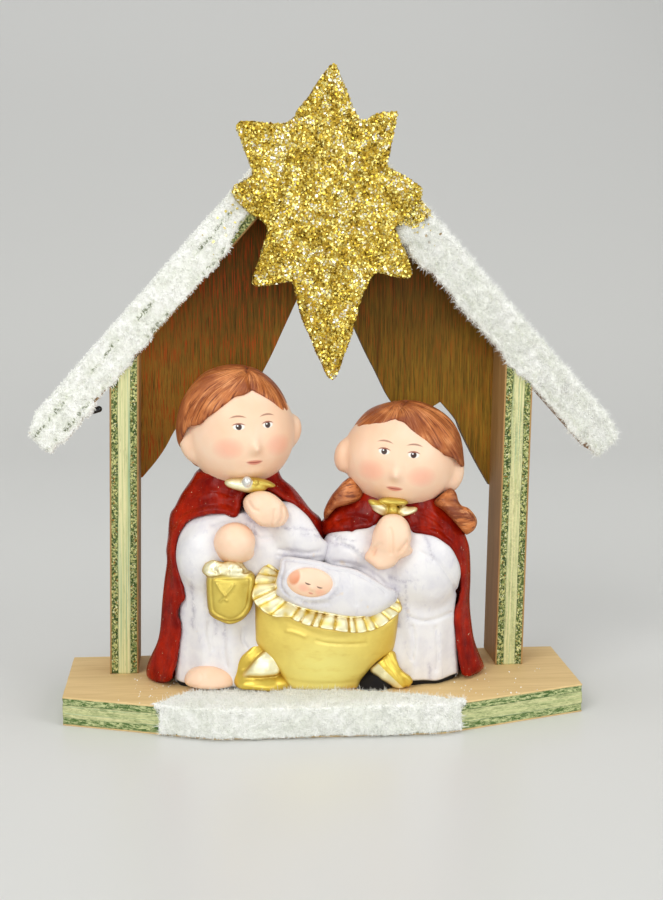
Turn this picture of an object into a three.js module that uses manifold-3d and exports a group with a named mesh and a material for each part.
// A small nativity scene: a stoneware group of three painted figures that stands in an open
// plywood stable with flocked snow on its roof and a glittered star on its gable.
// Millimetres, +Z up. The origin is the centre of the base board's underside, +X is to the
// right and -Y is the front, where the scene is looked at from.
import * as THREE from 'three';
import { mergeVertices } from 'three/addons/utils/BufferGeometryUtils.js';
import Module from 'manifold-3d';

const wasm = await Module();
wasm.setup();

// Driving dimensions of the stable
const sheet = 5; // plywood of the base, the walls and the roof boards
const panelSheet = 3; // thinner plywood of the back panel
const glueLine = 0.2; // wood to wood, where faces aren't level
const castGap = 0.3; // between the painted members of the stoneware group

const base = { halfWidth: 44.7, depth: 33.8, noseHalfWidth: 18.9, cornerCut: 9.7 };
const wall = { depth: 11.4, halfRoom: 32.1, height: 57.0, offset: -0.3, lean: 1.06 };
const roof = { pitch: 48, leftLength: 70.9, rightLength: 72.9 };
const panel = { roofLap: 4.0, wallLap: 5.6, outerFoot: 31.0, toothFoot: 42.4, toothX: 17.2, archTop: 73.5 };
const star = { thickness: 3.0, tipRound: 1.0, centreX: 1.4, dropFromRidge: 8.9 };
const snow = { leftDepth: 1.4, rightDepth: 0.9, frontSkin: 0.5, starClear: 1.0, eaveTaper: 3.5 };
const drift = { leftEnd: 28.2, rightEnd: 21.8, reach: 10.6, topSkin: 0.6, frontSkin: 0.8, foot: 0.5 };

const baseBack = base.depth / 2;
const baseFront = -base.depth / 2;
const wallFront = baseBack - wall.depth;
const leanSlope = Math.tan(THREE.MathUtils.degToRad(wall.lean));
const pitch = THREE.MathUtils.degToRad(roof.pitch);
const ridgeX = wall.offset + wall.height * leanSlope;
const ridgeZ = sheet + wall.height + wall.halfRoom * Math.tan(pitch);

// Shared helpers

function solid(geometry) {
  const bare = geometry.clone();
  bare.deleteAttribute('normal');
  bare.deleteAttribute('uv');
  const welded = mergeVertices(bare, 1e-4);
  return new wasm.Manifold(new wasm.Mesh({
    numProp: 3,
    vertProperties: new Float32Array(welded.attributes.position.array),
    triVerts: new Uint32Array(welded.index.array),
  }));
}

function geometryOf(body) {
  const mesh = body.getMesh();
  const geometry = new THREE.BufferGeometry();
  geometry.setAttribute('position', new THREE.BufferAttribute(new Float32Array(mesh.vertProperties), 3));
  geometry.setIndex(new THREE.BufferAttribute(new Uint32Array(mesh.triVerts), 1));
  geometry.computeVertexNormals();
  return geometry;
}

const join = (bodies) => bodies.reduce((sum, body) => sum.add(body));
const cut = (body, cutters) => cutters.reduce((rest, cutter) => rest.subtract(cutter), body);

// The largest piece that a cut leaves, without the crumbs beside it
function mainPiece(body) {
  const pieces = body.decompose();
  return pieces.reduce((best, piece) => (piece.volume() > best.volume() ? piece : best));
}

// An outline in the X-Z plane, extruded from yFront back to yBack
function slabGeometry(shape, yFront, yBack, curveSegments = 8) {
  const geometry = new THREE.ExtrudeGeometry(shape, {
    depth: yBack - yFront,
    bevelEnabled: false,
    curveSegments,
  });
  geometry.rotateX(Math.PI / 2);
  geometry.translate(0, yBack, 0);
  return geometry;
}

const outline = (points) => new THREE.Shape(points.map(([x, z]) => new THREE.Vector2(x, z)));

// An outline whose corners are rounded to one radius
function roundedOutline(corners, radius) {
  const shape = new THREE.Shape();
  const points = corners.map(([x, z]) => new THREE.Vector2(x, z));
  points.forEach((corner, i) => {
    const before = points[(i + points.length - 1) % points.length];
    const after = points[(i + 1) % points.length];
    const entry = corner.clone().add(before.clone().sub(corner).setLength(radius));
    const exit = corner.clone().add(after.clone().sub(corner).setLength(radius));
    if (i === 0) shape.moveTo(entry.x, entry.y);
    else shape.lineTo(entry.x, entry.y);
    shape.quadraticCurveTo(corner.x, corner.y, exit.x, exit.y);
  });
  shape.closePath();
  return shape;
}

// Closed rings of points, joined from first to last and closed by a fan at each end
function ringsGeometry(rings) {
  const sides = rings[0].length;
  const positions = rings.flat();
  const centre = (ring) => ring.reduce((sum, point) => sum.add(point), new THREE.Vector3())
    .divideScalar(sides);
  positions.push(centre(rings[0]), centre(rings[rings.length - 1]));
  const firstHub = rings.length * sides;
  const lastRing = (rings.length - 1) * sides;
  const index = [];
  for (let side = 0; side < sides; side += 1) {
    const next = (side + 1) % sides;
    index.push(firstHub, next, side);
    index.push(firstHub + 1, lastRing + side, lastRing + next);
    for (let ring = 0; ring < rings.length - 1; ring += 1) {
      const low = ring * sides;
      const high = low + sides;
      index.push(low + side, low + next, high + next);
      index.push(low + side, high + next, high + side);
    }
  }
  const geometry = new THREE.BufferGeometry().setFromPoints(positions);
  geometry.setIndex(index);
  return geometry;
}

// A turned or draped form: level oval sections, each [height, x, y, half width, half depth].
// grow widens every section, for the clearance that a neighbour is cut with.
function loft(sections, grow = 0, sides = 20) {
  const last = sections.length - 1;
  const rings = sections.map(([height, x, y, halfWidth, halfDepth], i) => {
    const lift = i === last ? grow : i === 0 ? -grow : 0;
    return Array.from({ length: sides }, (_, k) => {
      const turn = (k / sides) * 2 * Math.PI;
      const [c, s] = [Math.cos(turn), Math.sin(turn)];
      const square = (value) => Math.sign(value) * Math.abs(value) ** 0.86;
      return new THREE.Vector3(
        x + (halfWidth + grow) * square(c),
        y + (halfDepth + grow) * square(s),
        height + lift,
      );
    });
  });
  return solid(ringsGeometry(rings));
}

// A rounded lump with three half sizes, tipped clockwise as seen from the front by tip degrees
function lump([x, y, z], [halfX, halfY, halfZ], tip = 0, grow = 0, sides = 16) {
  const geometry = new THREE.SphereGeometry(1, sides, Math.round(sides * 0.55));
  geometry.rotateX(Math.PI / 2);
  geometry.scale(halfX + grow, halfY + grow, halfZ + grow);
  geometry.rotateY(THREE.MathUtils.degToRad(tip));
  geometry.translate(x, y, z);
  return solid(geometry);
}

const finishes = {
  plywood: new THREE.MeshStandardMaterial({ color: 0xc9b877, roughness: 0.8 }),
  stainedPanel: new THREE.MeshStandardMaterial({ color: 0x7a5320, roughness: 0.75 }),
  flock: new THREE.MeshStandardMaterial({ color: 0xf2f4ee, roughness: 1 }),
  glitter: new THREE.MeshStandardMaterial({ color: 0xc9a227, roughness: 0.35, metalness: 0.9 }),
  skin: new THREE.MeshStandardMaterial({ color: 0xf8d6b4, roughness: 0.55 }),
  hair: new THREE.MeshStandardMaterial({ color: 0x8c4726, roughness: 0.5 }),
  cloak: new THREE.MeshStandardMaterial({ color: 0x78201a, roughness: 0.4 }),
  robe: new THREE.MeshStandardMaterial({ color: 0xe2e2e8, roughness: 0.7 }),
  gold: new THREE.MeshStandardMaterial({ color: 0xdcc75a, roughness: 0.35, metalness: 0.6 }),
};

function piece(name, geometry, finish) {
  const mesh = new THREE.Mesh(geometry, finishes[finish]);
  mesh.name = name;
  return mesh;
}

// Stable

function baseBoard() {
  const side = base.halfWidth;
  const nose = base.noseHalfWidth;
  const cornerY = baseFront + base.cornerCut;
  const shape = outline([
    [-side, baseBack], [-side, cornerY], [-nose, baseFront],
    [nose, baseFront], [side, cornerY], [side, baseBack],
  ]);
  return new THREE.ExtrudeGeometry(shape, { depth: sheet, bevelEnabled: false });
}

// Height of the roof boards' underside above any x
const undersideZ = (x) => ridgeZ - Math.abs(x - ridgeX) * Math.tan(pitch);

// A wall stands on the base, leans with its partner and is cut to the roof's slope.
// side is -1 on the left and 1 on the right.
function wallBoard(side) {
  const footInner = wall.offset + side * wall.halfRoom;
  const topAt = (footX) => {
    const reach = side * (footX - ridgeX) * Math.tan(pitch);
    const rise = (ridgeZ - glueLine - sheet - reach) / (1 + side * leanSlope * Math.tan(pitch));
    return [footX + rise * leanSlope, sheet + rise];
  };
  const footOuter = footInner + side * sheet;
  return slabGeometry(outline([
    [footInner, sheet], [footOuter, sheet], topAt(footOuter), topAt(footInner),
  ]), wallFront, baseBack);
}

// Places on a roof board: down the slope from the ridge, and out from the underside
function onRoof(side, down, out) {
  return [
    ridgeX + side * (down * Math.cos(pitch) + out * Math.sin(pitch)),
    ridgeZ - down * Math.sin(pitch) + out * Math.cos(pitch),
  ];
}

// The mitred ridge joint puts this board's face a glue line away from its partner's
function atRidge(side, out) {
  const x = ridgeX + side * glueLine / 2;
  return [x, ridgeZ - (glueLine / 2) * Math.tan(pitch) + out / Math.cos(pitch)];
}

const roofLength = (side) => (side < 0 ? roof.leftLength : roof.rightLength);

function roofBoard(side) {
  const length = roofLength(side);
  return slabGeometry(outline([
    atRidge(side, 0), onRoof(side, length, 0), onRoof(side, length, sheet), atRidge(side, sheet),
  ]), wallFront, baseBack);
}

// The flock lies on the board's outer face, thins out at the eave and coats the front edge
// from there up to the star.
function roofSnow(side) {
  const length = roofLength(side);
  const depth = side < 0 ? snow.leftDepth : snow.rightDepth;
  const skinFront = wallFront - snow.frontSkin;
  const armEnd = star.centreX + (side < 0 ? starTips[6][0] : starTips[2][0]);
  const skinStart = (Math.abs(armEnd - ridgeX) + snow.starClear) / Math.cos(pitch);
  const tipDown = length - snow.eaveTaper;
  const topFrom = (start) => outline([
    start(sheet), onRoof(side, length, sheet), onRoof(side, tipDown, sheet + depth), start(sheet + depth),
  ]);
  const blanket = slabGeometry(topFrom((out) => atRidge(side, out)), wallFront, baseBack);
  const brow = slabGeometry(topFrom((out) => onRoof(side, skinStart + sheet, out)), skinFront, baseBack);
  const skin = slabGeometry(outline([
    onRoof(side, skinStart, 0), onRoof(side, length, 0), onRoof(side, length, sheet),
    onRoof(side, tipDown, sheet + depth), onRoof(side, skinStart + sheet, sheet + depth),
  ]), skinFront, wallFront);
  return geometryOf(join([blanket, brow, skin].map(solid)));
}

// The back panel closes the gable behind the walls and the roof boards. Its lower edge is
// scalloped: an arch at each side, a pointed arch in the middle and a tooth between them.
function backPanel() {
  const outerX = (side, z) => wall.offset + side * (wall.halfRoom + panel.wallLap)
    + (z - sheet) * leanSlope;
  const footZ = sheet + panel.outerFoot;
  const corner = (side) => {
    const x = outerX(side, sheet + wall.height);
    return [x, undersideZ(x) + panel.roofLap / Math.cos(pitch)];
  };
  const middle = ridgeX;
  const shape = new THREE.Shape();
  const at = (x, up) => new THREE.Vector2(middle + x, sheet + up);
  shape.moveTo(outerX(-1, footZ), footZ);
  shape.lineTo(...corner(-1));
  shape.lineTo(ridgeX, ridgeZ + panel.roofLap / Math.cos(pitch));
  shape.lineTo(...corner(1));
  shape.lineTo(outerX(1, footZ), footZ - 1.0);
  shape.splineThru([at(31.9, 30.9), at(29.3, 35.4), at(26.4, 41.1), at(25.4, 43.4), at(22.4, 46.9)]);
  shape.splineThru([at(19.8, 45.2), at(panel.toothX, panel.toothFoot)]);
  const archSide = (side) => [[0.767, 0.151], [0.605, 0.325], [0.5, 0.437], [0.39, 0.569], [0.227, 0.759]]
    .map(([out, up]) => at(side * out * panel.toothX, panel.toothFoot + up * (panel.archTop - panel.toothFoot)));
  shape.splineThru([...archSide(1), at(0, panel.archTop)]);
  shape.splineThru([...archSide(-1).reverse(), at(-panel.toothX, panel.toothFoot)]);
  shape.splineThru([at(-19.8, 45.2), at(-22.4, 46.9)]);
  shape.splineThru([at(-26.1, 42.5), at(-28.1, 39.0), at(-30.0, 36.3), at(-32.3, 33.6)]);
  shape.closePath();
  return slabGeometry(shape, baseBack, baseBack + panelSheet, 3);
}

// The star's eight points and the notches between them, from its centre, clockwise from the top
const starTips = [
  [0.7, 22.0], [11.4, 14.1], [15.9, 1.4], [14.1, -13.1],
  [0.3, -31.0], [-12.9, -14.4], [-16.3, 1.7], [-15.6, 12.2],
];
const starNotches = [
  [5.2, 13.0], [9.6, 5.2], [11.9, -4.1], [6.6, -13.2],
  [-6.2, -13.8], [-10.4, -5.5], [-12.9, 4.5], [-6.9, 12.0],
];

function starPlate() {
  const centreZ = ridgeZ - star.dropFromRidge;
  const corners = starTips.flatMap((tip, i) => [tip, starNotches[i]])
    .map(([x, z]) => [star.centreX + x, centreZ + z]);
  const back = wallFront - glueLine;
  return slabGeometry(roundedOutline(corners, star.tipRound), back - star.thickness, back, 3);
}

// The base's front edge at any x, moved forward by out
function baseEdgeY(x, out = 0) {
  const past = Math.max(0, Math.abs(x) - base.noseHalfWidth);
  return baseFront + past * (base.cornerCut / (base.halfWidth - base.noseHalfWidth)) - out;
}

// The drift of flock over the base's front edge. It lies deepest before the left figure and
// thins out to the right, and it stops short of everything that stands on the base.
function baseSnow(standing) {
  const { leftEnd, rightEnd, reach, topSkin, frontSkin, foot } = drift;
  const corners = [-leftEnd, -base.noseHalfWidth, base.noseHalfWidth, rightEnd];
  const back = [
    [rightEnd, baseEdgeY(rightEnd) + 0.4], [rightEnd - 3.2, baseFront + 0.24 * reach],
    [0.7 * rightEnd, baseFront + 0.45 * reach], [0.45 * rightEnd, baseFront + 0.66 * reach],
    [0.03 * rightEnd, baseFront + 0.84 * reach], [-0.52 * leftEnd, baseFront + 0.99 * reach],
    [-0.78 * leftEnd, baseFront + 0.98 * reach], [-0.91 * leftEnd, baseFront + 0.73 * reach],
    [-leftEnd, baseEdgeY(-leftEnd) + 0.4],
  ].map(([x, y]) => new THREE.Vector2(x, y));
  const onTop = new THREE.Shape();
  onTop.moveTo(-leftEnd, baseEdgeY(-leftEnd, frontSkin));
  corners.slice(1).forEach((x) => onTop.lineTo(x, baseEdgeY(x, frontSkin)));
  onTop.lineTo(back[0].x, back[0].y);
  onTop.splineThru(back.slice(1));
  onTop.closePath();
  const blanket = new THREE.ExtrudeGeometry(onTop, {
    depth: topSkin, bevelEnabled: false, curveSegments: 3,
  });
  blanket.translate(0, 0, sheet);
  const apron = new THREE.ExtrudeGeometry(outline([
    ...corners.map((x) => [x, baseEdgeY(x, frontSkin)]),
    ...corners.toReversed().map((x) => [x, baseEdgeY(x)]),
  ]), { depth: sheet + topSkin - foot, bevelEnabled: false });
  apron.translate(0, 0, foot);
  const skin = cut(solid(blanket).add(solid(apron)), standing);
  return geometryOf(mainPiece(skin));
}

// Stoneware group, in its own frame: z is measured from the top of the base board.
// Each form is a function of the clearance that it is grown by.

const groundCut = () => {
  const block = new THREE.BoxGeometry(90, 60, 20);
  block.translate(0, 0, -10);
  return solid(block);
};

const father = {
  cloak: (g = 0) => loft([
    [0, -14.6, 4.2, 16.2, 8.8], [2.5, -14.6, 4.2, 16.0, 8.8], [8, -14.6, 4.2, 15.1, 8.6],
    [16, -14.4, 4.2, 13.9, 8.4], [24, -13.6, 4.0, 13.5, 8.2], [29, -13.9, 3.8, 12.6, 7.8],
    [32, -14.2, 3.6, 10.8, 7.1], [34.5, -14.3, 3.4, 8.8, 6.2], [36.5, -14.3, 3.2, 7.2, 5.4],
  ], g),
  skirt: (g = 0) => loft([
    [0, -14.2, -0.6, 11.5, 5.6], [5, -14.2, -0.6, 11.1, 5.6], [15, -14.0, -0.6, 10.8, 5.6],
    [24, -13.2, -0.6, 11.6, 5.4], [28, -13.3, -0.4, 10.6, 5.0], [30.5, -13.5, 0, 8.0, 4.2],
  ], g),
  sleeveLeft: (g = 0) => lump([-19.9, -2.6, 22.9], [5.3, 5.2, 6.6], 8, g),
  sleeveRight: (g = 0) => lump([-4.6, -2.6, 26.6], [6.8, 4.6, 4.3], 42, g),
  head: (g = 0) => lump([-14.0, 1.6, 43.7], [9.3, 9.0, 9.6], 0, g, 22),
  earLeft: (g = 0) => lump([-22.1, 1.2, 41.1], [2.2, 2.4, 3.4], -18, g, 12),
  earRight: (g = 0) => lump([-5.2, 2.4, 43.4], [1.8, 2.0, 2.9], 12, g, 12),
  hair: (g = 0) => lump([-15.0, 3.4, 45.1], [10.3, 9.6, 10.1], 0, g, 22),
  collar: (g = 0) => lump([-12.4, -3.7, 35.6], [3.8, 1.7, 1.3], 0, g, 14),
  clasp: (g = 0) => lump([-13.0, -5.2, 36.5], [0.9, 0.9, 0.9], 0, g, 8),
  fist: (g = 0) => lump([-10.0, -6.0, 31.5], [4.0, 3.4, 3.3], 25, g, 14),
  palm: (g = 0) => lump([-15.4, -7.2, 26.3], [3.8, 3.3, 3.3], 0, g, 14),
  foot: (g = 0) => lump([-19.9, -4.7, 1.0], [4.3, 3.2, 3.4], 0, g, 14),
};

const lantern = {
  lid: (g = 0) => loft([
    [20.4, -17.3, -7.0, 3.3, 2.4], [21.2, -17.3, -7.0, 3.9, 2.9], [22.3, -17.3, -7.0, 3.7, 2.7],
    [23.4, -17.3, -7.0, 2.4, 1.8],
  ], g, 14),
  body: (g = 0) => loft([
    [12.5, -16.3, -7.0, 2.5, 1.5], [13.2, -16.3, -7.0, 3.7, 2.4], [15, -16.2, -7.0, 4.1, 2.8],
    [19.6, -16.1, -7.0, 4.2, 2.9], [20.8, -16.4, -7.0, 3.7, 2.5],
  ], g, 14),
};

const mother = {
  cloak: (g = 0) => loft([
    [0, 14.5, 4.2, 14.8, 8.6], [3, 14.3, 4.2, 14.4, 8.6], [9, 13.9, 4.2, 13.4, 8.4],
    [21, 13.4, 4.2, 13.3, 8.2], [26, 13.2, 4.0, 13.0, 7.8], [29, 13.0, 3.8, 11.6, 7.2],
    [31.5, 12.8, 3.4, 9.0, 6.0], [33, 12.8, 3.2, 7.0, 5.2],
  ], g),
  skirt: (g = 0) => loft([
    [0, 13.4, -0.8, 10.4, 5.4], [12, 13.2, -0.8, 10.0, 5.4], [20, 12.6, -0.8, 11.4, 5.4],
    [25, 12.0, -0.6, 11.2, 5.2], [28, 11.5, -0.2, 9.0, 4.2],
  ], g),
  sleeveLeft: (g = 0) => lump([4.8, -2.6, 24.0], [5.4, 4.6, 4.2], -25, g),
  sleeveRight: (g = 0) => lump([17.0, -3.0, 20.6], [6.8, 5.4, 7.9], 0, g, 18),
  head: (g = 0) => lump([13.6, 1.6, 38.8], [9.9, 8.8, 8.6], 12, g, 22),
  earLeft: (g = 0) => lump([4.3, 1.8, 39.6], [1.8, 2.2, 2.8], 12, g, 12),
  earRight: (g = 0) => lump([22.5, 1.4, 35.9], [2.4, 2.4, 3.3], 18, g, 12),
  hair: (g = 0) => lump([14.8, 3.4, 39.4], [10.6, 9.5, 9.3], 12, g, 22),
  lockLeft: (g = 0) => lump([4.0, 0.6, 31.8], [4.6, 2.4, 2.2], -52, g, 14),
  lockRight: (g = 0) => lump([23.6, -0.6, 29.2], [4.6, 3.0, 3.0], 50, g, 14),
  collarLeft: (g = 0) => lump([10.0, -3.9, 31.4], [2.2, 1.6, 1.3], 12, g, 12),
  collarRight: (g = 0) => lump([13.4, -3.9, 31.3], [2.2, 1.6, 1.2], -8, g, 12),
  palms: (g = 0) => lump([10.4, -6.6, 26.6], [3.3, 3.3, 4.7], 6, g, 14),
};

// The cradle's mouth lies in a plane that tips towards the front and falls to the right
const mouth = { x: -0.2, y: -6.8, halfWidth: 11.5, halfDepth: 5.4, forward: 1.1, rightward: 0.22 };
const mouthZ = (x, y) => 17.9 + mouth.forward * (y - mouth.y) - mouth.rightward * x;
const rim = { from: 128, to: 368, pleats: 17, stepsPerPleat: 3, width: 1.45, thickness: 1.0 };

// The gathered rim: one tube along the front of the mouth whose section swells at each pleat
function rimTube(grow = 0) {
  const sides = 6;
  const steps = rim.pleats * rim.stepsPerPleat;
  const turnAt = (k) => THREE.MathUtils.degToRad(rim.from + ((rim.to - rim.from) * k) / steps);
  const pointAt = (turn) => {
    const x = mouth.x + mouth.halfWidth * Math.cos(turn);
    const y = mouth.y + mouth.halfDepth * Math.sin(turn);
    return new THREE.Vector3(x, y, mouthZ(x, y));
  };
  const plane = new THREE.Vector3(mouth.rightward, -mouth.forward, 1).normalize();
  const rings = Array.from({ length: steps + 1 }, (_, k) => {
    const here = pointAt(turnAt(k));
    const along = pointAt(turnAt(k) + 0.01).sub(pointAt(turnAt(k) - 0.01)).normalize();
    const outward = along.clone().cross(plane).normalize();
    const swell = 1 + 0.16 * Math.cos((2 * Math.PI * k) / rim.stepsPerPleat);
    return Array.from({ length: sides }, (_, s) => {
      const angle = (-s / sides) * 2 * Math.PI;
      const across = (rim.thickness * swell + grow) * Math.cos(angle);
      const down = (rim.width * swell + grow) * Math.sin(angle);
      return here.clone().addScaledVector(outward, across).addScaledVector(plane, down - rim.width / 2);
    });
  });
  return solid(ringsGeometry(rings));
}

const cradle = {
  bowl: (g = 0) => loft([
    [0, -3.0, -3.6, 8.6, 4.4], [4, -2.0, -3.8, 10.3, 5.4], [9, -0.9, -4.1, 11.7, 6.6],
    [14, -0.4, -4.2, 12.0, 7.4], [18, -0.4, -4.2, 12.0, 7.6], [22, -1.4, -4.0, 10.9, 7.0],
    [24.5, -3.0, -3.4, 8.6, 5.4],
  ], g, 24),
  footLeft: (g = 0) => loft([
    [0, -10.6, -5.0, 4.8, 3.7], [2.5, -10.6, -5.0, 4.5, 3.5], [5.5, -10.8, -4.9, 3.0, 2.8],
    [8.6, -11.0, -4.8, 1.0, 1.2],
  ], g, 14),
  footRight: (g = 0) => loft([
    [0, 12.8, -5.4, 2.3, 2.8], [3, 11.6, -5.4, 2.6, 2.6], [7.5, 9.8, -5.0, 1.8, 2.2],
  ], g, 14),
  wrap: (g = 0) => lump([0.9, -7.3, 18.6], [9.7, 4.3, 4.8], 14, g, 18),
  face: (g = 0) => lump([-3.0, -10.2, 19.9], [3.9, 1.9, 2.5], 12, g, 14),
  rim: rimTube,
};

// Everything above the plane of the cradle's mouth
function aboveMouth() {
  const block = new THREE.BoxGeometry(60, 60, 40);
  block.translate(0, 0, 20);
  const up = new THREE.Vector3(mouth.rightward, -mouth.forward, 1).normalize();
  block.applyQuaternion(new THREE.Quaternion().setFromUnitVectors(new THREE.Vector3(0, 0, 1), up));
  block.translate(mouth.x, mouth.y, mouthZ(mouth.x, mouth.y));
  return solid(block);
}

// The part of a head that hair leaves bare: an outline seen from the front, back to one depth
const bareFace = (corners, back) => solid(slabGeometry(outline(corners), -20, back));
const faceBack = 3.0;
const fatherHairline = [
  [-27, 30], [-27, 38], [-23.6, 44.4], [-18.0, 48.2], [-12.0, 51.1], [-8.5, 49.2], [-5.4, 45.6],
  [-2, 41], [-2, 30],
];
const motherHairline = [
  [1, 26], [1, 39], [4.0, 42.2], [7.9, 44.8], [11.9, 46.2], [15.5, 43.8], [20.3, 40.3],
  [24.6, 37.0], [28, 32], [28, 26],
];

function stonewareGroup() {
  const g = castGap;
  const ground = groundCut();
  const group = new THREE.Group();
  const add = (name, body, finish) => group.add(piece(name, geometryOf(mainPiece(body)), finish));

  const cradleSolids = ['bowl', 'footLeft', 'footRight', 'wrap', 'face', 'rim']
    .map((part) => cradle[part](g));
  const lanternSolids = [lantern.lid(g), lantern.body(g)];
  const fatherHands = [father.fist(g), father.palm(g)];
  const fatherHead = [father.head(g), father.earLeft(g), father.earRight(g)];
  const fatherCollar = [father.collar(g), father.clasp(g)];
  const motherHead = [mother.head(g), mother.earLeft(g), mother.earRight(g)];
  const motherLocks = [mother.lockLeft(g), mother.lockRight(g)];
  const motherCollar = [mother.collarLeft(g), mother.collarRight(g)];
  const fatherRobe = (grow) => join([
    father.skirt(grow), father.sleeveLeft(grow), father.sleeveRight(grow),
  ]);
  const motherRobe = (grow) => join([
    mother.skirt(grow), mother.sleeveLeft(grow), mother.sleeveRight(grow),
  ]);

  add('baby_face', cradle.face(), 'skin');
  add('baby_wrap', cut(cradle.wrap(), [cradle.face(g), cradle.rim(g)]), 'robe');
  add('cradle_rim', cut(cradle.rim(), [cradle.face(g)]), 'gold');
  add('cradle_bowl', cut(cradle.bowl(), [
    aboveMouth(), cradle.wrap(g), cradle.rim(g), cradle.face(g), ground,
  ]), 'gold');
  add('cradle_foot_left', cut(cradle.footLeft(), [cradle.bowl(g), ground]), 'gold');
  add('cradle_foot_right', cut(cradle.footRight(), [cradle.bowl(g), ground]), 'gold');

  add('lantern', cut(join([lantern.lid(), lantern.body()]), [
    cradle.bowl(g), cradle.rim(g), cradle.footLeft(g),
  ]), 'gold');
  add('father_lantern_hand', cut(father.palm(), [...lanternSolids, cradle.rim(g)]), 'skin');
  add('father_raised_hand', cut(father.fist(), [father.palm(g)]), 'skin');
  add('father_foot', cut(father.foot(), [ground, cradle.footLeft(g)]), 'skin');
  add('father_collar', cut(join([father.collar(), father.clasp()]), [
    ...fatherHead, father.fist(g),
  ]), 'gold');
  add('father_head', join([father.head(), father.earLeft(), father.earRight()]), 'skin');
  add('father_hair', cut(father.hair(), [
    ...fatherHead, bareFace(fatherHairline, faceBack),
  ]), 'hair');
  add('father_robe', cut(fatherRobe(0), [
    ...fatherHands, ...lanternSolids, ...fatherHead, ...fatherCollar, father.foot(g), father.hair(g),
    ...cradleSolids, ground,
  ]), 'robe');

  add('mother_hands', cut(mother.palms(), [mother.collarLeft(g), mother.collarRight(g), cradle.wrap(g)]), 'skin');
  add('mother_collar', cut(join([mother.collarLeft(), mother.collarRight()]), [...motherHead]), 'gold');
  add('mother_head', cut(join([mother.head(), mother.earLeft(), mother.earRight()]), [
    ...fatherHead,
  ]), 'skin');
  add('mother_hair', cut(mother.hair(), [
    ...motherHead, bareFace(motherHairline, faceBack),
  ]), 'hair');
  add('mother_hair_lock_left', cut(mother.lockLeft(), [
    ...motherHead, mother.hair(g), fatherRobe(g),
  ]), 'hair');
  add('mother_hair_lock_right', cut(mother.lockRight(), [...motherHead, mother.hair(g)]), 'hair');
  add('mother_robe', cut(motherRobe(0), [
    mother.palms(g), ...motherHead, ...motherLocks, ...motherCollar, mother.hair(g), fatherRobe(g),
    ...fatherHands, ...cradleSolids, ground,
  ]), 'robe');

  add('father_cloak', cut(father.cloak(), [
    fatherRobe(g), motherRobe(g), ...fatherHead, father.hair(g), ...fatherCollar, ...fatherHands,
    ...lanternSolids, father.foot(g), ...cradleSolids, ...motherLocks,
  ]), 'cloak');
  add('mother_cloak', cut(mother.cloak(), [
    motherRobe(g), fatherRobe(g), father.cloak(g), ...motherHead, mother.hair(g), ...motherLocks,
    ...motherCollar, mother.palms(g), ...cradleSolids,
  ]), 'cloak');

  group.position.z = sheet;
  return group;
}

// Assembly
const nativity = new THREE.Group();
nativity.add(
  piece('base_board', baseBoard(), 'plywood'),
  piece('wall_left', wallBoard(-1), 'plywood'),
  piece('wall_right', wallBoard(1), 'plywood'),
  piece('roof_left', roofBoard(-1), 'plywood'),
  piece('roof_right', roofBoard(1), 'plywood'),
  piece('back_panel', backPanel(), 'stainedPanel'),
  piece('snow_roof_left', roofSnow(-1), 'flock'),
  piece('snow_roof_right', roofSnow(1), 'flock'),
  piece('star', starPlate(), 'glitter'),
  stonewareGroup(),
);
const standing = [
  cradle.bowl, cradle.footLeft, cradle.footRight, father.foot, father.skirt, father.cloak, mother.skirt,
].map((form) => form(castGap).translate(0, 0, sheet));
nativity.add(piece('snow_base', baseSnow(standing), 'flock'));

export default nativity;
